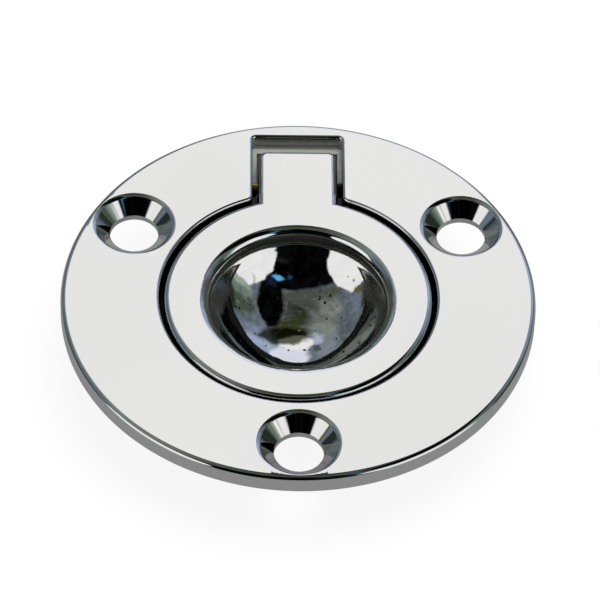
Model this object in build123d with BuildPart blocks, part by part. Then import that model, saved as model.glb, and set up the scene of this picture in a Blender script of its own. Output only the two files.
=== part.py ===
from build123d import *
import os
from math import acos, cos, pi, radians, sin, sqrt, tan

# Recessed ring pull, 54 mm: a round flange with a ring pocket, a finger cup
# and a hinge slot cast in one piece, a flush ring whose tab turns on a cross
# pin, and the pin itself.
# Frame: origin at the centre of the screw circle on the back of the flange,
# +Z out of the panel towards the hand, +Y from the cup towards the hinge.

os.makedirs("parts", exist_ok=True)

# ---- flange -------------------------------------------------------------
plate_d = 54.0            # 2-1/8 in
plate_t = 2.4
rim_round = 0.6           # top edge of the flange, polished over
back_round = 0.4          # lower edge of the flange
mouth_round = 0.3         # edges of the pocket and of the slot

# ---- screw holes --------------------------------------------------------
screw_pcd = 43.5
screw_hole_d = 5.6
screw_head_d = 9.0        # countersink, at the sharp corner
screw_head_angle = 90
screw_edge = 0.8          # the countersink is polished over at the face

# ---- ring pocket and finger cup -----------------------------------------
pocket_r = 15.84
pocket_depth = 2.6
wall = 1.6                # casting wall behind the pocket, cup and slot
cup_rim_r = 10.2
cup_r = 11.8              # spherical radius of the cup
cup_rim_round = 0.3

# ---- pull ring ----------------------------------------------------------
ring_sink = 0.1           # the ring lies a little below the flange
ring_r = 15.56            # at the sharp corner, before rounding
ring_eye_r = 10.05
ring_t = 2.4
ring_draft = 15           # outer side leans in below, to swing clear of the pocket
ring_edge = 0.7           # outer top edge of the ring and its tab
ring_under_edge = 0.8
eye_edge_top = 1.25       # the eye is rounded for the finger
eye_edge_under = 0.8
tab_w = 9.66              # likewise
tab_root_y = 12.6         # the tab starts inside the width of the ring
tab_end_y = 23.03
tab_corner = 1.3

# ---- hinge --------------------------------------------------------------
pin_d = 1.5
pin_y = 19.44
pin_depth = 3.2           # pin axis below the face, just behind the flange
pin_end_bevel = 0.15
pin_clearance = 0.05      # running clearance in the knuckle, on the radius
knuckle_r = 1.6
knuckle_w = 8.1

# ---- hinge slot ---------------------------------------------------------
slot_w = 10.5
slot_end_y = 24.87
slot_corner = 0.5
slot_root_round = 0.8     # corners where the slot opens into the pocket
ledge_depth_end = 1.66    # sloping ledge round the tab, at the slot's end
ledge_depth_pin = 2.9     # the same ledge where it falls away to the pin
trough_w = 9.45           # the tail of the tab swings down in this
trough_r = 4.5            # swept radius of the tail, plus clearance
trough_corner = 0.5
well_r = 1.9              # hollow round the knuckle
stop_y = 0.6              # face that the tail comes up against at 90 degrees
housing_corner = 1.0

top = plate_t
floor = top - pocket_depth
pocket_back = floor - wall
pocket_back_r = pocket_r + wall + 0.1
pin_z = top - pin_depth
cheek_w = slot_w + 2 * wall

cup_z = floor + sqrt(cup_r**2 - cup_rim_r**2)     # centre of the cup's sphere
back_r = cup_r + wall
dome_r = sqrt(back_r**2 - (cup_z - pocket_back) ** 2)
cup_mid = 0.5 * acos((cup_z - floor) / cup_r)
dome_mid = 0.5 * acos((cup_z - pocket_back) / back_r)

# YZ plane through the pin: local X is +Y, local Y is +Z
hinge_plane = Plane(origin=(0, pin_y, pin_z), x_dir=(0, 1, 0), z_dir=(1, 0, 0))


def on_circle(radius, y):
    """Lower point at y on a circle about the pin."""
    return (y, -sqrt(radius**2 - y**2))


# ---- hinge housing ------------------------------------------------------
# The swing hollow seen from outside, one wall thicker: round below the
# knuckle, then a deeper round below the path of the tail.
out_well = well_r + wall
out_trough = trough_r + wall
out_stop = stop_y - wall
joint_top = -pin_z + 0.8          # runs up into the flange
with BuildPart() as hinge_housing:
    with BuildSketch(hinge_plane):
        with BuildLine():
            Line((-out_well, joint_top), (-out_well, 0))
            ThreePointArc(
                (-out_well, 0),
                (-out_well * cos(radians(40)), -out_well * sin(radians(40))),
                on_circle(out_well, out_stop),
            )
            Line(on_circle(out_well, out_stop), on_circle(out_trough, out_stop))
            ThreePointArc(
                on_circle(out_trough, out_stop),
                (out_trough * sin(radians(45)), -out_trough * cos(radians(45))),
                (out_trough, 0),
            )
            Line((out_trough, 0), (out_trough, joint_top))
            Line((out_trough, joint_top), (-out_well, joint_top))
        make_face()
    extrude(amount=cheek_w / 2, both=True)
    stop_edges = hinge_housing.edges().filter_by(Axis.X).filter_by(
        lambda e: abs(e.center().Y - (pin_y + out_stop)) < 0.01
    )
    fillet(stop_edges.sort_by(Axis.Z)[0], radius=1.6)
    fillet(stop_edges.sort_by(Axis.Z)[-1], radius=0.8)
    # the far corners stay behind the round flange
    Cylinder(plate_d / 2 - 0.9, 40, mode=Mode.INTERSECT)
    fillet(
        hinge_housing.edges().filter_by(Axis.Z).filter_by(lambda e: e.center().Y > pin_y),
        radius=housing_corner,
    )

# ---- countersink cutter: polished lip, cone and clearance hole -----------
half_angle = radians(screw_head_angle / 2)
lip_turn = pi / 2 - half_angle                     # slope of the cone
lip_r = screw_head_d / 2 + screw_edge * tan(lip_turn / 2)
hole_r = screw_hole_d / 2
cone_end = top - (screw_head_d / 2 - hole_r) / tan(half_angle)


def on_lip(turn):
    """Point on the lip where it has turned down by an angle."""
    return (lip_r - screw_edge * sin(turn), top - screw_edge * (1 - cos(turn)))


with BuildPart() as screw_cutter:
    with BuildSketch(Plane.XZ):
        with BuildLine():
            Line((0, top + 1), (lip_r, top + 1))
            Line((lip_r, top + 1), on_lip(0))
            ThreePointArc(on_lip(0), on_lip(lip_turn / 2), on_lip(lip_turn))
            Line(on_lip(lip_turn), (hole_r, cone_end))
            Line((hole_r, cone_end), (hole_r, -1))
            Line((hole_r, -1), (0, -1))
            Line((0, -1), (0, top + 1))
        make_face()
    revolve(axis=Axis.Z)

# ---- base plate: the casting --------------------------------------------
with BuildPart() as base_plate:
    # flange, pocket, cup and the dome behind the cup in one turned section
    with BuildSketch(Plane.XZ):
        with BuildLine():
            Polyline(
                (dome_r, pocket_back),
                (pocket_back_r, pocket_back),
                (pocket_back_r, 0),
                (plate_d / 2, 0),
                (plate_d / 2, top),
                (pocket_r, top),
                (pocket_r, floor),
                (cup_rim_r, floor),
            )
            ThreePointArc(
                (cup_rim_r, floor),
                (cup_r * sin(cup_mid), cup_z - cup_r * cos(cup_mid)),
                (0, cup_z - cup_r),
            )
            Line((0, cup_z - cup_r), (0, cup_z - back_r))
            ThreePointArc(
                (0, cup_z - back_r),
                (back_r * sin(dome_mid), cup_z - back_r * cos(dome_mid)),
                (dome_r, pocket_back),
            )
        make_face()
    revolve(axis=Axis.Z)
    fillet(
        base_plate.edges()
        .filter_by(GeomType.CIRCLE)
        .filter_by(lambda e: abs(e.radius - pocket_back_r) < 0.01 and e.center().Z < -0.5),
        radius=0.8,
    )
    fillet(
        base_plate.edges()
        .filter_by(GeomType.CIRCLE)
        .filter_by(lambda e: abs(e.radius - dome_r) < 0.01 and e.center().Z < -0.5),
        radius=1.2,
    )
    add(hinge_housing.part)

    # slot for the tab: pocket floor, a well across the pin, then the ledge
    # that slopes up to the end of the slot
    with BuildSketch(hinge_plane):
        with BuildLine():
            Polyline(
                (12.5 - pin_y, pin_depth + 1),
                (12.5 - pin_y, pin_depth - pocket_depth),
                (-well_r, pin_depth - pocket_depth),
                (-well_r, -well_r),
                (pin_d / 2, -well_r),
                (pin_d / 2, pin_depth - ledge_depth_pin),
                (slot_end_y - pin_y, pin_depth - ledge_depth_end),
                (slot_end_y - pin_y, pin_depth + 1),
                close=True,
            )
        make_face()
    extrude(amount=slot_w / 2, both=True, mode=Mode.SUBTRACT)
    fillet(
        base_plate.edges()
        .filter_by(Axis.Z)
        .filter_by(
            lambda e: abs(e.center().Y - slot_end_y) < 0.02 and abs(abs(e.center().X) - slot_w / 2) < 0.02
        ),
        radius=slot_corner,
    )
    slot_root_y = sqrt(pocket_r**2 - (slot_w / 2) ** 2)
    fillet(
        base_plate.edges()
        .filter_by(Axis.Z)
        .filter_by(
            lambda e: abs(e.center().Y - slot_root_y) < 0.02 and abs(abs(e.center().X) - slot_w / 2) < 0.02
        ),
        radius=slot_root_round,
    )

    # swing hollow: a round seat for the knuckle, the stop face below it, and
    # a quarter round that clears the tail of the tab
    with BuildSketch(hinge_plane):
        with BuildLine():
            Line((-well_r, pin_depth + 1), (-well_r, 0))
            ThreePointArc(
                (-well_r, 0),
                (-well_r * cos(radians(50)), -well_r * sin(radians(50))),
                on_circle(well_r, stop_y),
            )
            Line(on_circle(well_r, stop_y), on_circle(trough_r, stop_y))
            ThreePointArc(
                on_circle(trough_r, stop_y),
                (trough_r * sin(radians(50)), -trough_r * cos(radians(50))),
                (trough_r, 0),
            )
            Line((trough_r, 0), (trough_r, pin_depth + 1))
            Line((trough_r, pin_depth + 1), (-well_r, pin_depth + 1))
        make_face()
    extrude(amount=trough_w / 2, both=True, mode=Mode.SUBTRACT)
    fillet(
        base_plate.edges()
        .filter_by(Axis.X)
        .filter_by(lambda e: abs(e.center().Y - (pin_y + stop_y)) < 0.01)
        .sort_by(Axis.Z)[0],
        radius=trough_corner,
    )

    # cross hole for the pin, through both cheeks
    with BuildSketch(hinge_plane):
        Circle(pin_d / 2)
    extrude(amount=cheek_w, both=True, mode=Mode.SUBTRACT)

    # edges at the face: the pocket and slot mouth in one run, then the rim
    face_edges = base_plate.faces().sort_by(Axis.Z)[-1].edges()
    rim = face_edges.filter_by(GeomType.CIRCLE).sort_by(SortBy.RADIUS)[-1]
    fillet([e for e in face_edges if e != rim], radius=mouth_round)
    fillet(rim, radius=rim_round)
    fillet(
        base_plate.edges()
        .filter_by(GeomType.CIRCLE)
        .filter_by(lambda e: abs(e.radius - plate_d / 2) < 0.01 and abs(e.center().Z) < 0.01),
        radius=back_round,
    )
    fillet(
        base_plate.edges()
        .filter_by(GeomType.CIRCLE)
        .filter_by(lambda e: abs(e.radius - cup_rim_r) < 0.01),
        radius=cup_rim_round,
    )

    # three countersunk screw holes
    with PolarLocations(screw_pcd / 2, 3, start_angle=30, rotate=False):
        add(screw_cutter.part, mode=Mode.SUBTRACT)

base_plate.part.label = "base_plate"
export_step(base_plate.part, "parts/base_plate.step")

# ---- pull ring: a turned ring, its tab, and a knuckle under the tab ------
ring_top = top - ring_sink
under = ring_top - ring_t
lean = ring_t * tan(radians(ring_draft))

with BuildPart() as tab:
    with BuildSketch(Plane.XY.offset(ring_top)) as tab_outline:
        with Locations((0, (tab_root_y + tab_end_y) / 2)):
            Rectangle(tab_w, tab_end_y - tab_root_y)
        fillet(tab_outline.vertices().group_by(Axis.Y)[-1], radius=tab_corner)
    extrude(amount=-ring_t, taper=ring_draft)
    # rounded on the three free sides, above and below
    free = lambda e: e.center().Y > tab_root_y + 1.5
    fillet(tab.faces().sort_by(Axis.Z)[-1].edges().filter_by(free), radius=ring_edge)
    fillet(tab.faces().sort_by(Axis.Z)[0].edges().filter_by(free), radius=ring_under_edge)

with BuildPart() as pull_ring:
    with BuildSketch(Plane.XZ) as ring_section:
        with BuildLine():
            Polyline(
                (ring_eye_r, ring_top),
                (ring_r, ring_top),
                (ring_r - lean, under),
                (ring_eye_r, under),
                close=True,
            )
        make_face()
        # one corner at a time: every fillet renews the sketch's vertices. Its
        # own X is the radius and its Y is the height.
        for corner_x, corner_y, corner_round in (
            (ring_eye_r, ring_top, eye_edge_top),
            (ring_r, ring_top, ring_edge),
            (ring_eye_r, under, eye_edge_under),
            (ring_r - lean, under, ring_under_edge),
        ):
            corner = ring_section.vertices().filter_by(
                lambda v: abs(v.X - corner_x) < 0.01 and abs(v.Y - corner_y) < 0.01
            )
            assert len(corner) == 1, "corner of the ring's section not found"
            fillet(corner, radius=corner_round)
    revolve(axis=Axis.Z)
    add(tab.part)

    # knuckle: a barrel on the pin with straight flanks up into the tab
    knuckle_rise = under - pin_z + 0.3
    with BuildSketch(hinge_plane):
        Circle(knuckle_r)
        with Locations((0, knuckle_rise / 2)):
            Rectangle(2 * knuckle_r, knuckle_rise)
    extrude(amount=knuckle_w / 2, both=True)
    with BuildSketch(hinge_plane):
        Circle(pin_d / 2 + pin_clearance)
    extrude(amount=tab_w, both=True, mode=Mode.SUBTRACT)

pull_ring.part.label = "pull_ring"
export_step(pull_ring.part, "parts/pull_ring.step")

# ---- hinge pin ----------------------------------------------------------
with BuildPart() as hinge_pin:
    with BuildSketch(hinge_plane):
        Circle(pin_d / 2)
    extrude(amount=cheek_w / 2, both=True)
    chamfer(hinge_pin.edges().filter_by(GeomType.CIRCLE), length=pin_end_bevel)

hinge_pin.part.label = "hinge_pin"
export_step(hinge_pin.part, "parts/hinge_pin.step")
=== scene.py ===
import math

import bmesh
import bpy
from mathutils import Matrix, Vector


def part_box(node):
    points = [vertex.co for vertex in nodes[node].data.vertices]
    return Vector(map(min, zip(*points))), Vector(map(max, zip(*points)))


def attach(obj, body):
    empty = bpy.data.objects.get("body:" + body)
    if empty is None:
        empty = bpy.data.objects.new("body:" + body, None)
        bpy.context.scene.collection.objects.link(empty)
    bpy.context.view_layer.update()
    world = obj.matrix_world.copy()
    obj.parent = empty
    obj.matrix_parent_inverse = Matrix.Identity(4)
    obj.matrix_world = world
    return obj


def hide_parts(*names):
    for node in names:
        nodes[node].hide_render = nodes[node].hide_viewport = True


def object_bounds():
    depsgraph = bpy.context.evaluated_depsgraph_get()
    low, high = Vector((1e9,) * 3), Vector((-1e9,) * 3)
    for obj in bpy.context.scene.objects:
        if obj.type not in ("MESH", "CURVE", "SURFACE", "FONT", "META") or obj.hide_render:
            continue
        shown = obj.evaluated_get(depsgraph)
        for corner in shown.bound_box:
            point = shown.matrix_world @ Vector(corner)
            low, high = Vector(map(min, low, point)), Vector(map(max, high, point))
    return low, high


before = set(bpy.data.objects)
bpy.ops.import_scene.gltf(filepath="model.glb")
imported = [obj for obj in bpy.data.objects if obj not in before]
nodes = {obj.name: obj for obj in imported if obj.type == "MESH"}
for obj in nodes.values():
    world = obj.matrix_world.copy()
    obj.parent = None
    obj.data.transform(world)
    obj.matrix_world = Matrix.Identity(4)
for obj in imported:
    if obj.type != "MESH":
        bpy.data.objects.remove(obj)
cad_box = [[float(c) for c in corner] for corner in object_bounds()]
scene = bpy.context.scene
scene.view_settings.view_transform = "Standard"

# ---- base plate ----------------------------------------------------------
# The casting that is let into the panel: a round flange with a ring pocket, a
# finger cup, a hinge slot and three countersinks. It is a zinc die casting,
# polished on its face and in its cup, then chrome plated all over.
MM = 0.001
TURNS = 288                           # facets round a turned face
ROUND_STEP = math.radians(11.25)      # turn of one facet on a rounding
SAME = 0.0002                         # points nearer than this are one, mm
SHARP = math.radians(25)              # an edge that bends more stays sharp
BOWL_STEPS = 60                       # facets from the cup's rim to its middle

flange_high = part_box("base_plate")[1]
flange_r, flange_top = flange_high.x / MM, flange_high.z / MM
pin_low, pin_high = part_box("hinge_pin")
pin_y = (pin_low.y + pin_high.y) / 2 / MM
pin_z = (pin_low.z + pin_high.z) / 2 / MM
rim_round, back_round, mouth_round, pocket_back_round = 0.6, 0.4, 0.3, 0.8
pocket_r, pocket_depth, wall = 15.84, 2.6, 1.6
pocket_floor = flange_top - pocket_depth
cup_r, cup_rim_r, cup_rim_round = 11.8, 10.2, 0.3
cup_z = pocket_floor + math.sqrt(cup_r**2 - cup_rim_r**2)
slot_half, slot_end, slot_corner, slot_root = 5.25, 24.87, 0.5, 0.8


def rounded(corners):
    """A section in (radius, height); a corner with a third number is rounded."""
    points = []
    for i, (r, z, *rest) in enumerate(corners):
        here = Vector((r, z))
        if not rest or not rest[0]:
            points.append((r, z))
            continue
        before = (Vector(corners[i - 1][:2]) - here).normalized()
        after = (Vector(corners[(i + 1) % len(corners)][:2]) - here).normalized()
        half = before.angle(after) / 2
        centre = here + (before + after).normalized() * (rest[0] / math.sin(half))
        start = here + before * (rest[0] / math.tan(half)) - centre
        end = here + after * (rest[0] / math.tan(half)) - centre
        a0, a1 = math.atan2(start.y, start.x), math.atan2(end.y, end.x)
        sweep = (a1 - a0 + math.pi) % (2 * math.pi) - math.pi
        steps = max(2, math.ceil(abs(math.pi - 2 * half) / ROUND_STEP - 0.01))
        for k in range(steps + 1):
            a = a0 + sweep * k / steps
            points.append((centre.x + rest[0] * math.cos(a), centre.y + rest[0] * math.sin(a)))
    return points


def arc(centre, radius, start, end, steps):
    """Points on an arc about a centre, angles in degrees from the first axis."""
    return [
        (
            centre[0] + radius * math.cos(math.radians(start + (end - start) * k / steps)),
            centre[1] + radius * math.sin(math.radians(start + (end - start) * k / steps)),
        )
        for k in range(steps + 1)
    ]


def solid(name, loops, ends="fan"):
    """A closed body from loops of points in millimetres, one above the other.

    A loop of one point is a pole; ends are capped, or joined when 'ring'."""
    bm = bmesh.new()
    rows = [[bm.verts.new(Vector(p) * MM) for p in loop] for loop in loops]
    pairs = list(zip(rows, rows[1:]))
    if ends == "ring":
        pairs.append((rows[-1], rows[0]))
    for low, high in pairs:
        n = max(len(low), len(high))
        for k in range(n):
            corner = [
                low[k % len(low)], low[(k + 1) % len(low)],
                high[(k + 1) % len(high)], high[k % len(high)],
            ]
            face = [v for i, v in enumerate(corner) if v is not corner[i - 1]]
            if len(face) > 2:
                bm.faces.new(face)
    if ends != "ring":
        for row in (rows[0], rows[-1]):
            if len(row) > 2:
                bm.faces.new(row)
    bmesh.ops.recalc_face_normals(bm, faces=bm.faces)
    mesh = bpy.data.meshes.new(name)
    bm.to_mesh(mesh)
    bm.free()
    body = bpy.data.objects.new(name, mesh)
    bpy.context.scene.collection.objects.link(body)
    return body


def turned(name, section, ends="fan", turns=TURNS):
    """A body turned about the upright axis.

    The section is a list of (radius, height), or gives that list for an angle."""
    angles = [2 * math.pi * k / turns for k in range(turns)]
    sections = [section(a) if callable(section) else section for a in angles]
    loops = []
    for i in range(len(sections[0])):
        if sections[0][i][0] < SAME:
            loops.append([(0.0, 0.0, sections[0][i][1])])
            continue
        loops.append([
            (line[i][0] * math.cos(a), line[i][0] * math.sin(a), line[i][1])
            for a, line in zip(angles, sections)
        ])
    return solid(name, loops, ends)


def hinge_body(name, section, half):
    """A body of one section about the pin, drawn out to both sides."""
    return solid(name, [[(x, pin_y + y, pin_z + z) for y, z in section] for x in (-half, half)])


def joined(body, tool, operation):
    """The body with the tool cut away, added or kept; the tool is used up."""
    modifier = body.modifiers.new(operation, "BOOLEAN")
    modifier.operation, modifier.object, modifier.solver = operation, tool, "MANIFOLD"
    graph = bpy.context.evaluated_depsgraph_get()
    mesh = bpy.data.meshes.new_from_object(body.evaluated_get(graph))
    body.modifiers.clear()
    old, body.data = body.data, mesh
    bpy.data.meshes.remove(old)
    used = tool.data
    bpy.data.objects.remove(tool)
    bpy.data.meshes.remove(used)


def polished(body):
    """Smooth over the roundings, with every flat kept true up to its edge."""
    bm = bmesh.new()
    bm.from_mesh(body.data)
    bmesh.ops.remove_doubles(bm, verts=bm.verts, dist=SAME * MM)
    bmesh.ops.dissolve_degenerate(bm, dist=SAME * MM, edges=bm.edges)
    bm.to_mesh(body.data)
    bm.free()
    body.data.shade_smooth()
    body.data.set_sharp_from_angle(angle=SHARP)
    weighted = body.modifiers.new("weighted", "WEIGHTED_NORMAL")
    weighted.mode, weighted.weight, weighted.keep_sharp = "FACE_AREA", 100, True
    graph = bpy.context.evaluated_depsgraph_get()
    mesh = bpy.data.meshes.new_from_object(body.evaluated_get(graph))
    body.modifiers.clear()
    old, body.data = body.data, mesh
    bpy.data.meshes.remove(old)


def new_material(name):
    """A bare Principled material with its node tree and shader."""
    mat = bpy.data.materials.new(name)
    mat.use_nodes = True
    tree = mat.node_tree
    tree.nodes.clear()
    shader = tree.nodes.new("ShaderNodeBsdfPrincipled")
    out = tree.nodes.new("ShaderNodeOutputMaterial")
    tree.links.new(shader.outputs["BSDF"], out.inputs["Surface"])
    return mat, tree, shader


# the turned part: back of the pocket, dome behind the cup, flange and face
pocket_back, pocket_back_r = pocket_floor - wall, pocket_r + wall + 0.1
dome_r, dome_round = cup_r + wall, 1.2
foot = math.sqrt((dome_r + dome_round) ** 2 - (cup_z - pocket_back + dome_round) ** 2)
lean = math.degrees(math.atan2(foot, cup_z - pocket_back + dome_round))
base = turned("base_plate_casting", (
    arc((0, cup_z), dome_r, -90, lean - 90, 24)
    + arc((foot, pocket_back - dome_round), dome_round, 90 + lean, 90, 6)
    + rounded([
        (foot, pocket_back), (pocket_back_r, pocket_back, pocket_back_round),
        (pocket_back_r, 0), (flange_r, 0, back_round),
        (flange_r, flange_top, rim_round), (0, flange_top),
    ])[1:]
))

# the hinge housing behind the flange, one wall round the hollow that the
# knuckle and the tail of the tab swing in; radii are about the pin
well_r, trough_r, stop_y = 1.9, 4.5, 0.6
housing_half, housing_near, housing_corner, housing_top = 6.85, 10, 1.9, 0.8
out_well, out_trough, out_stop = well_r + wall, trough_r + wall, stop_y - wall
stop_low = -math.sqrt(out_trough**2 - out_stop**2)
stop_high = -math.sqrt(out_well**2 - out_stop**2)
well_turn = math.degrees(math.atan2(stop_high, out_stop)) % 360
trough_turn = math.degrees(math.atan2(stop_low, out_stop)) % 360
outside = (
    [(-out_well, housing_top - pin_z)] + arc((0, 0), out_well, 180, well_turn, 12)
    + arc((0, 0), out_trough, trough_turn, 360, 24) + [(out_trough, housing_top - pin_z)]
)
housing = hinge_body("housing", outside, housing_half)
plan = rounded([
    (-housing_half, housing_near), (housing_half, housing_near),
    (housing_half, pin_y + out_trough, housing_corner),
    (-housing_half, pin_y + out_trough, housing_corner),
])
joined(housing, solid("plan", [[(x, y, z) for x, y in plan] for z in (-9, 5)]), "INTERSECT")
joined(base, housing, "UNION")


def mouth(spread):
    """Outline of pocket and slot, spread outwards; it always has as many points."""
    reach = math.sqrt((pocket_r + slot_root) ** 2 - (slot_half + slot_root) ** 2)
    turn = math.degrees(math.atan2(reach, slot_half + slot_root))
    r, root, corner = pocket_r + spread, slot_root - spread, slot_corner + spread
    right = (
        arc((slot_half + slot_root, reach), root, 180 + turn, 180, 8)
        + arc((slot_half - slot_corner, slot_end - slot_corner), corner, 0, 90, 8)
    )
    # the round part runs on from the left root to the right, just clear of both
    gap = 90 - turn + 0.3
    steps = [(TURNS // 4 + k) % TURNS for k in range(TURNS) if gap < 360 * k / TURNS < 360 - gap]
    round_part = [
        (r * math.cos(2 * math.pi * k / TURNS), r * math.sin(2 * math.pi * k / TURNS))
        for k in steps
    ]
    return right + [(-x, y) for x, y in reversed(right)] + round_part


bends = [k * ROUND_STEP for k in range(9)]
drops = [(mouth_round * (1 - math.sin(a)), mouth_round * (1 - math.cos(a))) for a in bends]
levels = [(mouth_round, -1.0)] + drops + [(0.0, flange_top - pocket_floor)]
joined(base, solid("pocket", [
    [(x, y, flange_top - depth) for x, y in mouth(spread)] for spread, depth in levels
]), "DIFFERENCE")

# the ledge that slopes up round the end of the slot is left standing, and the
# slot falls away below it to a well across the pin; (along, up) from the pin
ledge_near, ledge_far, ledge_end, ledge_foot = (0.75, 0.3), (5.43, 1.54), (5.83, 1.54), -0.5
well_far, well_top, bite = 2.6, 1.2, 0.5
slope = (ledge_far[1] - ledge_near[1]) / (ledge_far[0] - ledge_near[0])
halfway = (well_far, ledge_near[1] + slope * (well_far - ledge_near[0]))
ledge = [
    (ledge_near[0], ledge_foot), ledge_near, ledge_far, ledge_end, (ledge_end[0], ledge_foot),
]
well = [
    (-well_r, -well_r), (ledge_near[0], -well_r), ledge_near,
    halfway, (well_far, well_top), (-well_r, well_top),
]
joined(base, hinge_body("ledge", ledge, slot_half + bite), "UNION")
joined(base, hinge_body("well", well, slot_half), "DIFFERENCE")

# the hollow that the knuckle and the tail of the tab swing down in
hollow_half, hollow_top, pin_hole_r, pin_reach = 4.725, 2.9, 0.75, 9
hollow = (
    [(-well_r, hollow_top)]
    + arc((0, 0), well_r, 180, 360 - math.degrees(math.acos(stop_y / well_r)), 14)
    + arc((0, 0), trough_r, 360 - math.degrees(math.acos(stop_y / trough_r)), 360, 24)
    + [(trough_r, hollow_top)]
)
pin_hole = arc((0, 0), pin_hole_r, 0, 360, 40)[:-1]
joined(base, hinge_body("hollow", hollow, hollow_half), "DIFFERENCE")
joined(base, hinge_body("pin_hole", pin_hole, pin_reach), "DIFFERENCE")

# the finger cup: a bowl that follows a sphere but lies flatter within flat_r
# of the middle, its rim broken by polishing; drawn from the rim inwards
flat_r, flatter = 7.0, 0.6
rim_z = pocket_floor - cup_rim_round
rim_r = math.sqrt((cup_r + cup_rim_round) ** 2 - (cup_z - rim_z) ** 2)
rim_turn = math.degrees(math.atan2(cup_z - rim_z, rim_r))
cup = (
    [(0, pocket_floor + 1), (rim_r, pocket_floor + 1)]
    + arc((rim_r, rim_z), cup_rim_round, 90, 180 - rim_turn, 6)
)
bowl_r = cup[-1][0]
for k in range(1, BOWL_STEPS + 1):
    r0, z0 = cup[-1]
    r1 = bowl_r * (1 - k / BOWL_STEPS)
    r_mid = (r0 + r1) / 2
    lying = 1 - flatter * max(0.0, 1 - (r_mid / flat_r) ** 2) ** 2
    cup.append((r1, z0 - (r0 - r1) * math.tan(math.asin(r_mid / cup_r) * lying)))
joined(base, turned("cup", cup), "DIFFERENCE")

# three countersinks, polished over at the face
hole_r, head_r, screw_edge = 2.8, 4.5, 0.8
lip_r = head_r + screw_edge * math.tan(math.radians(45 / 2))
screw_section = (
    [(0, flange_top + 1), (lip_r, flange_top + 1)]
    + arc((lip_r, flange_top - screw_edge), screw_edge, 90, 135, 6)
    + [(hole_r, flange_top - (head_r - hole_r)), (hole_r, -1), (0, -1)]
)
countersinks = turned("countersinks", screw_section, turns=96)
base_chrome, chrome_tree, chrome = new_material("base_chrome")
screws = bpy.data.node_groups.new("screw_circle", "GeometryNodeTree")
screws.interface.new_socket("Geometry", in_out="INPUT", socket_type="NodeSocketGeometry")
screws.interface.new_socket("Geometry", in_out="OUTPUT", socket_type="NodeSocketGeometry")
settings = []
for label, kind, value in (
    ("Holes", "Int", 3),
    ("Circle radius", "Float", 21.75 * MM),
    ("First angle", "Float", math.radians(30)),
):
    kind = "NodeSocket" + kind
    socket = screws.interface.new_socket(label, in_out="INPUT", socket_type=kind)
    settings.append((socket.identifier, value))
group_in = screws.nodes.new("NodeGroupInput")
group_out = screws.nodes.new("NodeGroupOutput")
circle = screws.nodes.new("GeometryNodeMeshCircle")
spin = screws.nodes.new("GeometryNodeTransform")
turn_to = screws.nodes.new("ShaderNodeCombineXYZ")
placed = screws.nodes.new("GeometryNodeInstanceOnPoints")
real = screws.nodes.new("GeometryNodeRealizeInstances")
finish = screws.nodes.new("GeometryNodeSetMaterial")
finish.inputs["Material"].default_value = base_chrome
for start, end in (
    (group_in.outputs["Holes"], circle.inputs["Vertices"]),
    (group_in.outputs["Circle radius"], circle.inputs["Radius"]),
    (group_in.outputs["First angle"], turn_to.inputs["Z"]),
    (circle.outputs["Mesh"], spin.inputs["Geometry"]),
    (turn_to.outputs[0], spin.inputs["Rotation"]),
    (spin.outputs["Geometry"], placed.inputs["Points"]),
    (group_in.outputs["Geometry"], placed.inputs["Instance"]),
    (placed.outputs[0], real.inputs[0]),
    (real.outputs[0], finish.inputs["Geometry"]),
    (finish.outputs[0], group_out.inputs[0]),
):
    screws.links.new(start, end)
pattern = countersinks.modifiers.new("screw_circle", "NODES")
pattern.node_group = screws
for identifier, value in settings:
    pattern[identifier] = value
graph = bpy.context.evaluated_depsgraph_get()
mesh = bpy.data.meshes.new_from_object(countersinks.evaluated_get(graph))
countersinks.modifiers.clear()
countersinks.data = mesh
joined(base, countersinks, "DIFFERENCE")
polished(base)


def feed(tree, socket, value):
    """Puts a number, a colour or another socket into an input."""
    if isinstance(value, (int, float)):
        socket.default_value = value
    elif isinstance(value, tuple):
        socket.default_value = (*value, 1.0) if len(socket.default_value) == 4 else value
    else:
        tree.links.new(value, socket)


def calc(tree, operation, *values, clamp=False):
    """One Math node."""
    node = tree.nodes.new("ShaderNodeMath")
    node.operation, node.use_clamp = operation, clamp
    for socket, value in zip(node.inputs, values):
        feed(tree, socket, value)
    return node.outputs[0]


def times(tree, *values):
    """Product of any number of masks."""
    result = values[0]
    for value in values[1:]:
        result = calc(tree, "MULTIPLY", result, value)
    return result


def most(tree, *values):
    """Greatest of any number of masks."""
    result = values[0]
    for value in values[1:]:
        result = calc(tree, "MAXIMUM", result, value)
    return result


def step(tree, value, start, end):
    """0 up to start and 1 from end on, smooth between; end may lie below."""
    node = tree.nodes.new("ShaderNodeMapRange")
    node.interpolation_type = "SMOOTHSTEP"
    rising = start < end
    for label, number in (
        ("From Min", min(start, end)), ("From Max", max(start, end)),
        ("To Min", 0.0 if rising else 1.0), ("To Max", 1.0 if rising else 0.0),
    ):
        node.inputs[label].default_value = number
    tree.links.new(value, node.inputs["Value"])
    return node.outputs["Result"]


def place(tree):
    """Position on the object in millimetres: vector, x, y, z."""
    coords = tree.nodes.new("ShaderNodeTexCoord")
    mm = tree.nodes.new("ShaderNodeVectorMath")
    mm.operation = "SCALE"
    mm.inputs["Scale"].default_value = 1 / MM
    tree.links.new(coords.outputs["Object"], mm.inputs[0])
    parts = tree.nodes.new("ShaderNodeSeparateXYZ")
    tree.links.new(mm.outputs[0], parts.inputs[0])
    return mm.outputs[0], parts.outputs[0], parts.outputs[1], parts.outputs[2]


def length(tree, *pairs):
    """Length of the differences, each pair a socket and its centre."""
    total = 0.0
    for socket, centre in pairs:
        d = calc(tree, "SUBTRACT", socket, centre)
        total = calc(tree, "MULTIPLY_ADD", d, d, total)
    return calc(tree, "SQRT", total)


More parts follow.
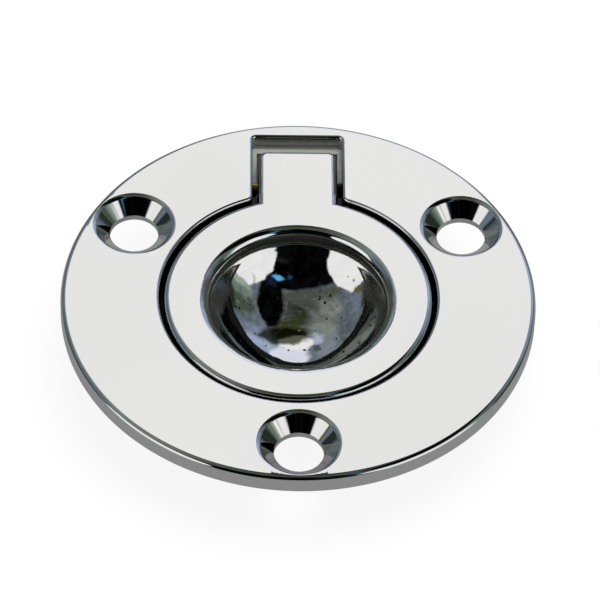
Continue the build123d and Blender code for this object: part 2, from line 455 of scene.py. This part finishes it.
def blend_colour(tree, factor, a, b):
    """Colour a where the factor is 0, b where it is 1."""
    node = tree.nodes.new("ShaderNodeMix")
    node.data_type = "RGBA"
    for index, value in ((0, factor), (6, a), (7, b)):
        feed(tree, node.inputs[index], value)
    return node.outputs[2]


def noise(tree, vector, scale, detail, stretch=None):
    """Soft noise, scale in waves per unit of the vector, mostly millimetres."""
    node = tree.nodes.new("ShaderNodeTexNoise")
    node.inputs["Scale"].default_value = scale
    node.inputs["Detail"].default_value = detail
    if stretch:
        stretched = tree.nodes.new("ShaderNodeMapping")
        stretched.inputs["Scale"].default_value = stretch
        tree.links.new(vector, stretched.inputs["Vector"])
        vector = stretched.outputs[0]
    tree.links.new(vector, node.inputs["Vector"])
    return node.outputs["Fac"]


def specks(tree, mm, spacing, size, share, shift):
    """Sparse round specks: one for some of the cells of a loose grid."""
    moved = tree.nodes.new("ShaderNodeMapping")
    moved.inputs["Location"].default_value = (shift, shift, shift)
    tree.links.new(mm, moved.inputs["Vector"])
    cells = tree.nodes.new("ShaderNodeTexVoronoi")
    cells.inputs["Scale"].default_value = 1 / spacing
    tree.links.new(moved.outputs[0], cells.inputs["Vector"])
    draw = tree.nodes.new("ShaderNodeSeparateColor")
    tree.links.new(cells.outputs["Color"], draw.inputs[0])
    chosen = calc(tree, "LESS_THAN", draw.outputs[0], share)
    reach = calc(tree, "MULTIPLY_ADD", draw.outputs[1], size / spacing, 0.4 * size / spacing)
    out_from_middle = calc(tree, "DIVIDE", cells.outputs["Distance"], reach)
    near = calc(tree, "SUBTRACT", 1.0, out_from_middle, clamp=True)
    return times(tree, step(tree, near, 0.0, 0.6), chosen)


CHROME, SHADE_BLACK, PIT = (0.775, 0.775, 0.773), (0.02, 0.021, 0.018), (0.05, 0.045, 0.055)
ZINC_DARK, ZINC_PALE = (0.34, 0.365, 0.32), (0.62, 0.64, 0.58)
OLIVE_DARK, OLIVE_PALE = (0.09, 0.085, 0.05), (0.24, 0.235, 0.17)
BLUE_STAIN, GREY_SPOT, BROWN = (0.42, 0.50, 0.52), (0.30, 0.30, 0.31), (0.055, 0.06, 0.032)
BUMP = 0.03                           # height of the grain, mm


def plating(tree, shader, mm, dull=0.0, cast=0.0, grainy=0.0, pitted=0.0, painted_shade=0.0,
            brown_patch=0.0):
    """Chrome: bright and a little uneven, dull where a wheel can't reach.

    The rest are masks: dull is the ledge of the slot and the open floor of the
    pocket, cast the back, grainy where the polish runs out, pitted the floor
    of the cup, deep the corners and gaps painted near black as shade, and
    tarnish a brown-olive patch."""
    spots = specks(tree, mm, spacing=2.6, size=0.16, share=0.30, shift=0.0)
    stains = specks(tree, mm, spacing=4.1, size=0.55, share=0.16, shift=7.0)
    pits = specks(tree, mm, spacing=0.62, size=0.19, share=0.42, shift=3.0)
    pits = most(tree, times(tree, pits, pitted), times(tree, spots, pitted))

    zinc = blend_colour(tree, noise(tree, mm, 0.8, 3.0), ZINC_DARK, ZINC_PALE)
    olive = blend_colour(tree, noise(tree, mm, 2.2, 4.0), OLIVE_DARK, OLIVE_PALE)
    colour = CHROME
    for mask, over in (
        (dull, zinc),
        (times(tree, stains, 0.10), BLUE_STAIN),
        (times(tree, spots, 0.14), GREY_SPOT),
        (times(tree, grainy, 0.85), olive),
        (pits, PIT),
        # painted shade: near black in the corners and gaps that lie in shadow
        (times(tree, painted_shade, 0.97), SHADE_BLACK),
        (brown_patch, BROWN),
    ):
        colour = blend_colour(tree, mask, colour, over)
    tree.links.new(colour, shader.inputs["Base Color"])

    rough = calc(tree, "MULTIPLY_ADD", noise(tree, mm, 0.35, 3.0), 0.03, 0.015)
    metallic = 1.0
    for mask, rougher, greyer in (
        (dull, 0.34, -0.8), (cast, 0.24, 0), (grainy, 0.22, -0.14), (pits, 0.3, 0), (painted_shade, 0.3, 0),
    ):
        rough = calc(tree, "MULTIPLY_ADD", mask, rougher, rough)
        if greyer:
            metallic = calc(tree, "MULTIPLY_ADD", mask, greyer, metallic)
    tree.links.new(rough, shader.inputs["Roughness"])
    tree.links.new(metallic, shader.inputs["Metallic"])

    # long soft waves where the cup was polished by hand, and fine grain
    waves = times(tree, noise(tree, mm, 0.42, 1.0), calc(tree, "ADD", pitted, grainy))
    coarse = calc(tree, "MULTIPLY_ADD", dull, 0.45, cast)
    coarse = calc(tree, "MULTIPLY_ADD", grainy, 0.40, coarse)
    grain = times(tree, noise(tree, mm, 3.2, 3.0), coarse)
    height = calc(tree, "MULTIPLY_ADD", pits, -0.12, calc(tree, "ADD", waves, grain))
    bump = tree.nodes.new("ShaderNodeBump")
    bump.inputs["Strength"].default_value = 1.0
    bump.inputs["Distance"].default_value = BUMP * MM
    tree.links.new(height, bump.inputs["Height"])
    tree.links.new(bump.outputs["Normal"], shader.inputs["Normal"])


tree = chrome_tree
mm, x, y, z = place(tree)
radius = length(tree, (x, 0), (y, 0))
side = calc(tree, "ABSOLUTE", x)
slot_start, roots_start, roots_end, shade_r = 15.0, 13.0, 16.9, 15.0
in_slot = times(
    tree,
    step(tree, side, slot_half + 0.2, slot_half + 0.1),
    step(tree, y, slot_start, slot_start + 0.2),
    step(tree, y, slot_end + 0.2, slot_end + 0.1),
)
in_pocket = times(
    tree,
    step(tree, radius, pocket_r + 0.2, pocket_r + 0.1),
    step(tree, radius, cup_rim_r + 0.1, cup_rim_r + 0.4),
)
in_cup = times(
    tree,
    step(tree, radius, cup_rim_r + 0.1, cup_rim_r),
    step(tree, z, pocket_floor, pocket_floor - 0.1),
    step(tree, length(tree, (x, 0), (y, 0), (z, cup_z)), cup_r + 0.5, cup_r + 0.3),
)
below_face = step(tree, z, flange_top - 0.3, flange_top - 0.6)

# painted shade: the corner of the pocket, the slot's roots and the well under
# the pin are painted near black where they lie in shadow
ledge_start = pin_y + ledge_near[0]
on_ledge = times(tree, in_slot, step(tree, y, ledge_start - 0.6, ledge_start))
at_roots = times(
    tree,
    step(tree, side, slot_half + 1.2, slot_half + 1.0),
    step(tree, y, roots_start, roots_start + 0.3),
    step(tree, y, roots_end, roots_end - 0.3),
)
corner = times(tree, in_pocket, step(tree, radius, shade_r - 1, shade_r))
under_pin = calc(tree, "SUBTRACT", in_slot, on_ledge)
painted_shade = times(tree, most(tree, corner, at_roots, under_pin), below_face)

# the ledge and the open floor of the pocket are left as they were cast, and
# the far wall of the slot is darker
open_floor = times(tree, in_pocket, step(tree, radius, shade_r, shade_r - 1), 0.75)
ledge_face = times(tree, on_ledge, step(tree, y, slot_end - 0.25, slot_end - 0.45))
far_wall = times(tree, on_ledge, below_face, step(tree, y, slot_end - 0.45, slot_end - 0.25))
dull = times(tree, most(tree, ledge_face, open_floor), below_face)
dull = most(tree, dull, times(tree, far_wall, 0.35))

# polish runs out on the near half of the cup's wall, unevenly
ragged = calc(tree, "ADD", radius, -0.8)
ragged = calc(tree, "MULTIPLY_ADD", noise(tree, mm, 0.5, 3.0), 1.6, ragged)
unpolished = times(tree, in_cup, step(tree, ragged, 8.6, 9.3), step(tree, y, 6.0, 3.5))
unpolished = most(tree, unpolished, times(tree, far_wall, 0.55))
pitted = times(tree, in_cup, step(tree, radius, 9.6, 8.6))

# a brown-olive patch left of the middle of the cup, 2.3 times wider than long
stain_x, stain_y, stain_wide = -1.5, 0.75, 2.3
stain = length(tree, (calc(tree, "DIVIDE", x, stain_wide), stain_x / stain_wide), (y, stain_y))
stain = calc(tree, "MULTIPLY_ADD", noise(tree, mm, 0.9, 3.0), 0.9, stain)
brown_patch = times(tree, in_cup, step(tree, stain, 1.95, 1.4), 0.95)

behind = times(
    tree,
    step(tree, z, -0.05, -0.15),
    calc(tree, "SUBTRACT", 1.0, in_cup),
    calc(tree, "SUBTRACT", 1.0, in_slot),
)
plating(tree, chrome, mm, dull, behind, unpolished, pitted, painted_shade, brown_patch)
base.name = "base_plate_casting"
base.data.materials.clear()
base.data.materials.append(base_chrome)
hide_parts("base_plate")
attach(base, "base")

# ---- pull ring -----------------------------------------------------------
# The part the finger lifts: a flat ring with a square tab and a knuckle below
# it, cast in one and plated like the plate.
ring_thick, ring_top = 2.4, flange_top - 0.1
under = ring_top - ring_thick
draft = ring_thick * math.tan(math.radians(15))
ring_r, eye_r, top_round, under_round = 15.56, 10.05, 0.7, 0.8
eye_round_mean, eye_round_swing = 1.25, 0.3
tab_half, tab_root, tab_end, tab_corner = 4.83, 13.0, 23.03, 1.3
knuckle_r, knuckle_half, pin_eye_r = 1.6, 4.05, 0.8


def ring_section(angle):
    """Section of the ring; the eye is rounded most away from the hinge."""
    eye_round = eye_round_mean - eye_round_swing * math.sin(angle)
    return rounded([
        (eye_r, ring_top, eye_round), (ring_r, ring_top, top_round),
        (ring_r - draft, under, under_round), (eye_r, under, under_round),
    ])


ring = turned("ring_casting", ring_section, ends="ring")
rows = rounded([
    (-2, ring_top), (0, ring_top, top_round), (-draft, under, under_round), (-2, under),
])[1:-1]
loops = []
for spread, height in rows:
    half, end = tab_half + spread, tab_end + spread
    corner = max(0.02, tab_corner + spread)
    right = [(half, tab_root)] + arc((half - corner, end - corner), corner, 0, 90, 10)
    left = [(-x, y) for x, y in reversed(right)]
    loops.append([(x, y, height) for x, y in right + left])
joined(ring, solid("tab", loops), "UNION")
flank = under - pin_z + 0.3           # the knuckle runs up into the ring
knuckle = [(knuckle_r, flank), (-knuckle_r, flank)] + arc((0, 0), knuckle_r, 180, 360, 32)
pin_eye = arc((0, 0), pin_eye_r, 0, 360, 40)[:-1]
joined(ring, hinge_body("knuckle", knuckle, knuckle_half), "UNION")
joined(ring, hinge_body("pin_eye", pin_eye, pin_reach), "DIFFERENCE")
polished(ring)

ring_chrome, tree, shader = new_material("ring_chrome")
mm, x, y, z = place(tree)
radius = length(tree, (x, 0), (y, 0))
side = calc(tree, "ABSOLUTE", x)
# the outer side faces the pocket wall and is painted near black as shade; no
# wheel reaches into the eye or along the tab's flanks
outer = times(
    tree,
    step(tree, radius, 14.9, 15.1),
    step(tree, z, ring_top - 0.75, ring_top - 1.1),
)
bore = times(
    tree,
    step(tree, radius, 11.0, 10.7),
    step(tree, z, ring_top - 0.7, ring_top - 1.2),
)
ragged = calc(tree, "ADD", radius, -0.4)
ragged = calc(tree, "MULTIPLY_ADD", noise(tree, mm, 0.6, 3.0), 0.8, ragged)
near_edge = times(tree, step(tree, ragged, 11.15, 10.7), step(tree, y, 4.5, 2.0))
flanks = times(
    tree,
    step(tree, side, tab_half - 0.8, tab_half - 0.65),
    step(tree, y, 15.6, 16.2),
    step(tree, z, ring_top - 0.01, ring_top - 0.05),
)
unpolished = most(tree, bore, near_edge, flanks)
under_side = times(tree, step(tree, z, under + 0.2, under + 0.05), 0.3)
plating(tree, shader, mm, cast=under_side, grainy=unpolished, painted_shade=outer)
ring.name = "pull_ring_casting"
ring.data.materials.clear()
ring.data.materials.append(ring_chrome)
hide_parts("pull_ring")
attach(ring, "ring")

# ---- hinge pin -----------------------------------------------------------
# A short length of drawn brass rod, unplated, pressed through both cheeks.
# Fine draw lines run along it.
pin_brass, tree, shader = new_material("pin_brass")
mm, x, y, z = place(tree)
lines = noise(tree, mm, 6.0, 3.0, stretch=(0.08, 1.0, 1.0))
drawn = blend_colour(tree, lines, (0.80, 0.56, 0.18), (0.45, 0.30, 0.09))
painted_shade_end = step(tree, x, 2.0, 3.5)   # painted shade at the right end, which lies in shadow
colour = blend_colour(tree, painted_shade_end, drawn, (0.05, 0.04, 0.025))
tree.links.new(colour, shader.inputs["Base Color"])
tree.links.new(calc(tree, "MULTIPLY_ADD", lines, 0.15, 0.22), shader.inputs["Roughness"])
shader.inputs["Metallic"].default_value = 1.0
nodes["hinge_pin"].data.materials[0] = pin_brass

# ---- table top -----------------------------------------------------------
# A table under the lowest point of the casting. It is dim, so that it keeps a
# soft shadow, and glows to the camera, so that it is white in the picture.
floor_z = cad_box[0][2]
bpy.ops.mesh.primitive_plane_add(size=3.0, location=(0, 0, floor_z))
table_top = bpy.context.object
table_top.name = "table_top"
table_white, tree, shader = new_material("table_white")
shader.inputs["Base Color"].default_value = (0.12, 0.12, 0.12, 1)
shader.inputs["Roughness"].default_value = 0.9
shader.inputs["Specular IOR Level"].default_value = 0.0
rays = tree.nodes.new("ShaderNodeLightPath")
seen_glow, mirrored_glow = 0.90, 0.20
glow = calc(tree, "MULTIPLY", rays.outputs["Is Camera Ray"], seen_glow)
glow = calc(tree, "ADD", glow, rays.outputs["Is Transmission Ray"])
glow = calc(tree, "MULTIPLY_ADD", rays.outputs["Is Glossy Ray"], mirrored_glow, glow)
shader.inputs["Emission Color"].default_value = (1.0, 1.0, 1.0, 1)
tree.links.new(glow, shader.inputs["Emission Strength"])
table_top.data.materials.append(table_white)

# ---- studio --------------------------------------------------------------
# The chrome shows the room it stands in: a pale card behind it, one at each
# side of the camera, a dark room in front and a grey ceiling. Each patch lies
# on the dome overhead, its corners in degrees from the zenith: right, front.
world = bpy.data.worlds.new("studio")
scene.world = world
world.use_nodes = True
tree = world.node_tree
tree.nodes.clear()
coords = tree.nodes.new("ShaderNodeTexCoord")
unit = tree.nodes.new("ShaderNodeVectorMath")
unit.operation = "NORMALIZE"
tree.links.new(coords.outputs["Generated"], unit.inputs[0])
parts = tree.nodes.new("ShaderNodeSeparateXYZ")
tree.links.new(unit.outputs[0], parts.inputs[0])
dx, dy, dz = parts.outputs
flat = length(tree, (dx, 0), (dy, 0))
upright = calc(tree, "MINIMUM", calc(tree, "MAXIMUM", dz, -1.0), 1.0)
down = calc(tree, "MULTIPLY", calc(tree, "ARCCOSINE", upright), 180 / math.pi)
spread = calc(tree, "DIVIDE", down, calc(tree, "MAXIMUM", flat, 1e-4))
ripple = tree.nodes.new("ShaderNodeTexNoise")
ripple.inputs["Scale"].default_value = 5.0
ripple.inputs["Detail"].default_value = 4.0
tree.links.new(unit.outputs[0], ripple.inputs["Vector"])
draws = tree.nodes.new("ShaderNodeSeparateColor")
tree.links.new(ripple.outputs["Color"], draws.inputs[0])
# the edges of the cards waver, mostly by a degree or two
waver = 7.0
sideways = calc(tree, "MULTIPLY_ADD", draws.outputs[0], waver, -waver / 2)
forward = calc(tree, "MULTIPLY_ADD", draws.outputs[1], waver, -waver / 2)
right = calc(tree, "ADD", times(tree, dx, spread), sideways)
front = calc(tree, "ADD", times(tree, dy, spread, -1.0), forward)
on_dome = tree.nodes.new("ShaderNodeCombineXYZ")
for socket, value in zip(on_dome.inputs, (right, front, 1.0)):
    feed(tree, socket, value)


def card(under, colour, corners, soft, amount=1.0):
    """Lays one convex, soft-edged patch of colour over the others."""
    edges = list(zip(corners, corners[1:] + corners[:1]))
    turning = sum(x0 * y1 - x1 * y0 for (x0, y0), (x1, y1) in edges)
    inside = amount
    for (x0, y0), (x1, y1) in edges:
        along = math.copysign(math.hypot(x1 - x0, y1 - y0), turning)
        nx, ny = (y0 - y1) / along, (x1 - x0) / along
        reach = tree.nodes.new("ShaderNodeVectorMath")
        reach.operation = "DOT_PRODUCT"
        reach.inputs[1].default_value = (nx, ny, -(nx * x0 + ny * y0))
        tree.links.new(on_dome.outputs[0], reach.inputs[0])
        inside = times(tree, inside, step(tree, reach.outputs["Value"], -soft, soft))
    return blend_colour(tree, inside, under, colour)


def spot(under, colour, centre, half, soft):
    """Lays one oval, soft-edged patch of colour over the others."""
    u = calc(tree, "DIVIDE", calc(tree, "SUBTRACT", right, centre[0]), half[0])
    v = calc(tree, "DIVIDE", calc(tree, "SUBTRACT", front, centre[1]), half[1])
    inside = step(tree, length(tree, (u, 0), (v, 0)), 1 + soft, 1 - soft)
    return blend_colour(tree, inside, under, colour)


def tone(*seen):
    """A tone as it is seen, 0 to 255, as light; the standard curve."""
    return tuple(
        ((v / 255 + 0.055) / 1.055) ** 2.4 if v > 10 else v / 255 / 12.92
        for v in seen
    )


black, white, pale = tone(2, 2, 3), (1.03, 1.025, 1.02), tone(236, 241, 255)
sky = blend_colour(tree, step(tree, right, -30, 35), tone(95, 107, 114), tone(106, 117, 130))
for seen, soft, corners in (
    # left wall, with a paler streak above it
    ((112, 124, 140), 6, [(-80, -24), (-58, -26), (-54, 6), (-82, 4)]),
    ((134, 143, 155), 6, [(-30, -60), (-8, -60), (-9, -42), (-28, -34)]),
    # ceiling, grey with darker panels, and olive at its far end
    ((136, 143, 139), 6, [(-34, -30), (-18, -43), (-5, -37), (-5, -18), (-30, -14)]),
    ((130, 136, 128), 5, [(-46, -12), (-28, -22), (-4, -22), (-11, 0), (-22, 16), (-43, 17)]),
    ((104, 109, 103), 5, [(-24, -18), (-4, -22), (-8, 10), (-22, 14)]),
    ((74, 80, 72), 5, [(-15, -4), (14, -10), (20, 24), (-24, 24)]),
    ((82, 88, 80), 5, [(-48, 11), (12, 9), (20, 24), (-46, 25)]),
    ((48, 52, 39), 3.5, [(-7, -20), (4, -26), (6, 0), (-7, 0)]),
    ((60, 66, 55), 4, [(4, -16), (12, -16), (15, 6), (5, 6)]),
    ((57, 63, 32), 4.5, [(-5, -41), (12, -40), (19, -31), (14, -17), (-6, -17)]),
    # right wall, blue-grey above and green-grey below
    ((172, 187, 216), 6, [(12, -60), (44, -56), (50, -42), (24, -34), (10, -42)]),
    ((138, 150, 176), 6, [(20, -40), (46, -44), (54, -30), (28, -27)]),
    ((76, 89, 74), 5, [(44, -14), (70, -30), (86, -6), (86, 8), (46, 8)]),
    ((120, 138, 128), 2.5, [(51, 3), (86, -1), (86, 13), (53, 13)]),
    ((164, 180, 165), 2, [(54, 11), (86, 8), (86, 18), (55, 18)]),
    ((26, 31, 29), 3, [(36, 2), (45, 4), (44, 20), (38, 20)]),
):
    sky = card(sky, tone(*seen), corners, soft)
# the walls are mottled
mottle = noise(tree, unit.outputs[0], 9.0, 5.0)
dark_patches = times(tree, step(tree, mottle, 0.52, 0.66), 0.30)
pale_patches = times(tree, step(tree, mottle, 0.48, 0.34), 0.22)
sky = blend_colour(tree, dark_patches, sky, tone(52, 58, 56))
sky = blend_colour(tree, pale_patches, sky, tone(168, 174, 176))

# a dark opening, and the dark room in front
opening = [(12, -27), (21, -30), (37, -11), (45, 4), (45, 20), (43, 32), (20, 32), (13, 2)]
room = [(-50, 27.5), (14, 24.5), (50, 27), (50, 90), (-54, 90)]
sky = card(sky, black, opening, 2.2)
sky = card(sky, black, room, 2.5)
sky = spot(sky, tone(24, 34, 50), (31, 32), (6, 5), 0.6)
sky = spot(sky, tone(34, 31, 28), (20, 55), (7, 3), 0.6)
# the cards at both sides of the camera, on their stands
right_card = [(86, 17), (56, 16), (42.5, 30), (32, 41), (29.5, 50), (29, 64), (58, 76), (86, 62)]
left_card = [(-88, 7), (-58, 6), (-47, 23), (-37.5, 35), (-36.5, 50), (-47, 64), (-88, 72)]
sky = card(sky, white, right_card, 1.6)
sky = card(sky, tone(84, 96, 82), [(47, 14), (51, 14), (56, 30), (53, 31)], 1.3, amount=0.4)
sky = card(sky, white, left_card, 1.6)
sky = card(sky, tone(104, 96, 62), [(-78, 1), (-74, -3), (-62, 6), (-65, 10)], 1.5)
# a window's blue glint
sky = spot(sky, tone(100, 190, 240), (23.5, 37.5), (6.5, 2.2), 0.5)
sky = spot(sky, tone(28, 70, 104), (9.5, 39.5), (3.4, 2.4), 0.6)
# behind: a low wall in shade, and the pale card that the flat face shows
behind_card = [(-4, -68), (22, -68), (18, -50), (11, -46.5), (5.5, -40), (-5, -40), (-5, -46)]
sky = card(sky, tone(50, 58, 58), [(-90, -64), (90, -64), (90, -82), (-90, -82)], 3)
sky = card(sky, pale, behind_card, 2.6)
sky = spot(sky, tone(184, 192, 214), (-9, -39.5), (4.5, 4.5), 0.5)
sky = spot(sky, tone(78, 88, 94), (-9, -47), (2.5, 2), 0.5)
sky = spot(sky, white, (1, -41.7), (7.6, 5.2), 0.2)
# lowest down: pale behind, dark at the sides
sky = card(sky, tone(240, 243, 250), [(-60, -83), (66, -83), (66, -95), (-60, -95)], 2)
sky = card(sky, tone(40, 48, 44), [(-72, -48), (-66, -20), (-76, 2), (-95, 2), (-95, -48)], 3)
sky = card(sky, tone(40, 48, 40), [(72, -48), (66, -20), (76, 2), (95, 2), (95, -48)], 3)
blotch = step(tree, draws.outputs[2], 0.42, 0.62)
sky = blend_colour(tree, times(tree, blotch, 0.05), sky, tone(60, 68, 66))

rays = tree.nodes.new("ShaderNodeLightPath")
plain = calc(tree, "MAXIMUM", rays.outputs["Is Camera Ray"], rays.outputs["Is Transmission Ray"])
shown = blend_colour(tree, plain, sky, (1.0, 1.0, 1.0))
background = tree.nodes.new("ShaderNodeBackground")
out = tree.nodes.new("ShaderNodeOutputWorld")
tree.links.new(shown, background.inputs["Color"])
tree.links.new(background.outputs[0], out.inputs["Surface"])

# One broad soft lamp overhead for the shadow on the table; the plating is lit
# by the room alone, so the lamp isn't mirrored in it.
lamp_data = bpy.data.lights.new("soft_box", "AREA")
lamp_data.shape = "DISK"
lamp_data.size = 0.9
lamp_data.energy = 9.0
lamp = bpy.data.objects.new("soft_box", lamp_data)
lamp.location = (0.15, 0.1, 1.0)
lamp.rotation_euler = (Vector((0, 0, 0)) - lamp.location).to_track_quat("-Z", "Y").to_euler()
lamp.visible_glossy = False
scene.collection.objects.link(lamp)

# ---- camera --------------------------------------------------------------
# Looks down at the face from 48 degrees, almost square to the hinge, from
# ten diameters away, through a long lens.
elevation, azimuth, roll = math.radians(48.3), math.radians(-1.53), math.radians(1.65)
distance_m = 20 * flange_r * MM
lens, sensor = 285.3, 36.0
# the middle of the face stands a little left of and above the picture's, in
# widths of the picture
left_of, above = 1.7 / 600, 4.6 / 600
across = Vector((math.cos(azimuth), math.sin(azimuth), 0))
back = Vector((
    math.sin(azimuth) * math.cos(elevation),
    -math.cos(azimuth) * math.cos(elevation),
    math.sin(elevation),
))
upward = back.cross(across)
right_v = across * math.cos(roll) + upward * math.sin(roll)
up_v = upward * math.cos(roll) - across * math.sin(roll)
view_m = distance_m * sensor / lens
aim = Vector((0, 0, flange_top * MM)) + (right_v * left_of - up_v * above) * view_m
camera_data = bpy.data.cameras.new("camera")
camera_data.sensor_width = sensor
camera_data.lens = lens
camera_data.clip_start = 0.01
camera = bpy.data.objects.new("camera", camera_data)
facing = Matrix((right_v, up_v, back)).transposed().to_4x4()
camera.matrix_world = Matrix.Translation(aim + back * distance_m) @ facing
scene.collection.objects.link(camera)
scene.camera = camera
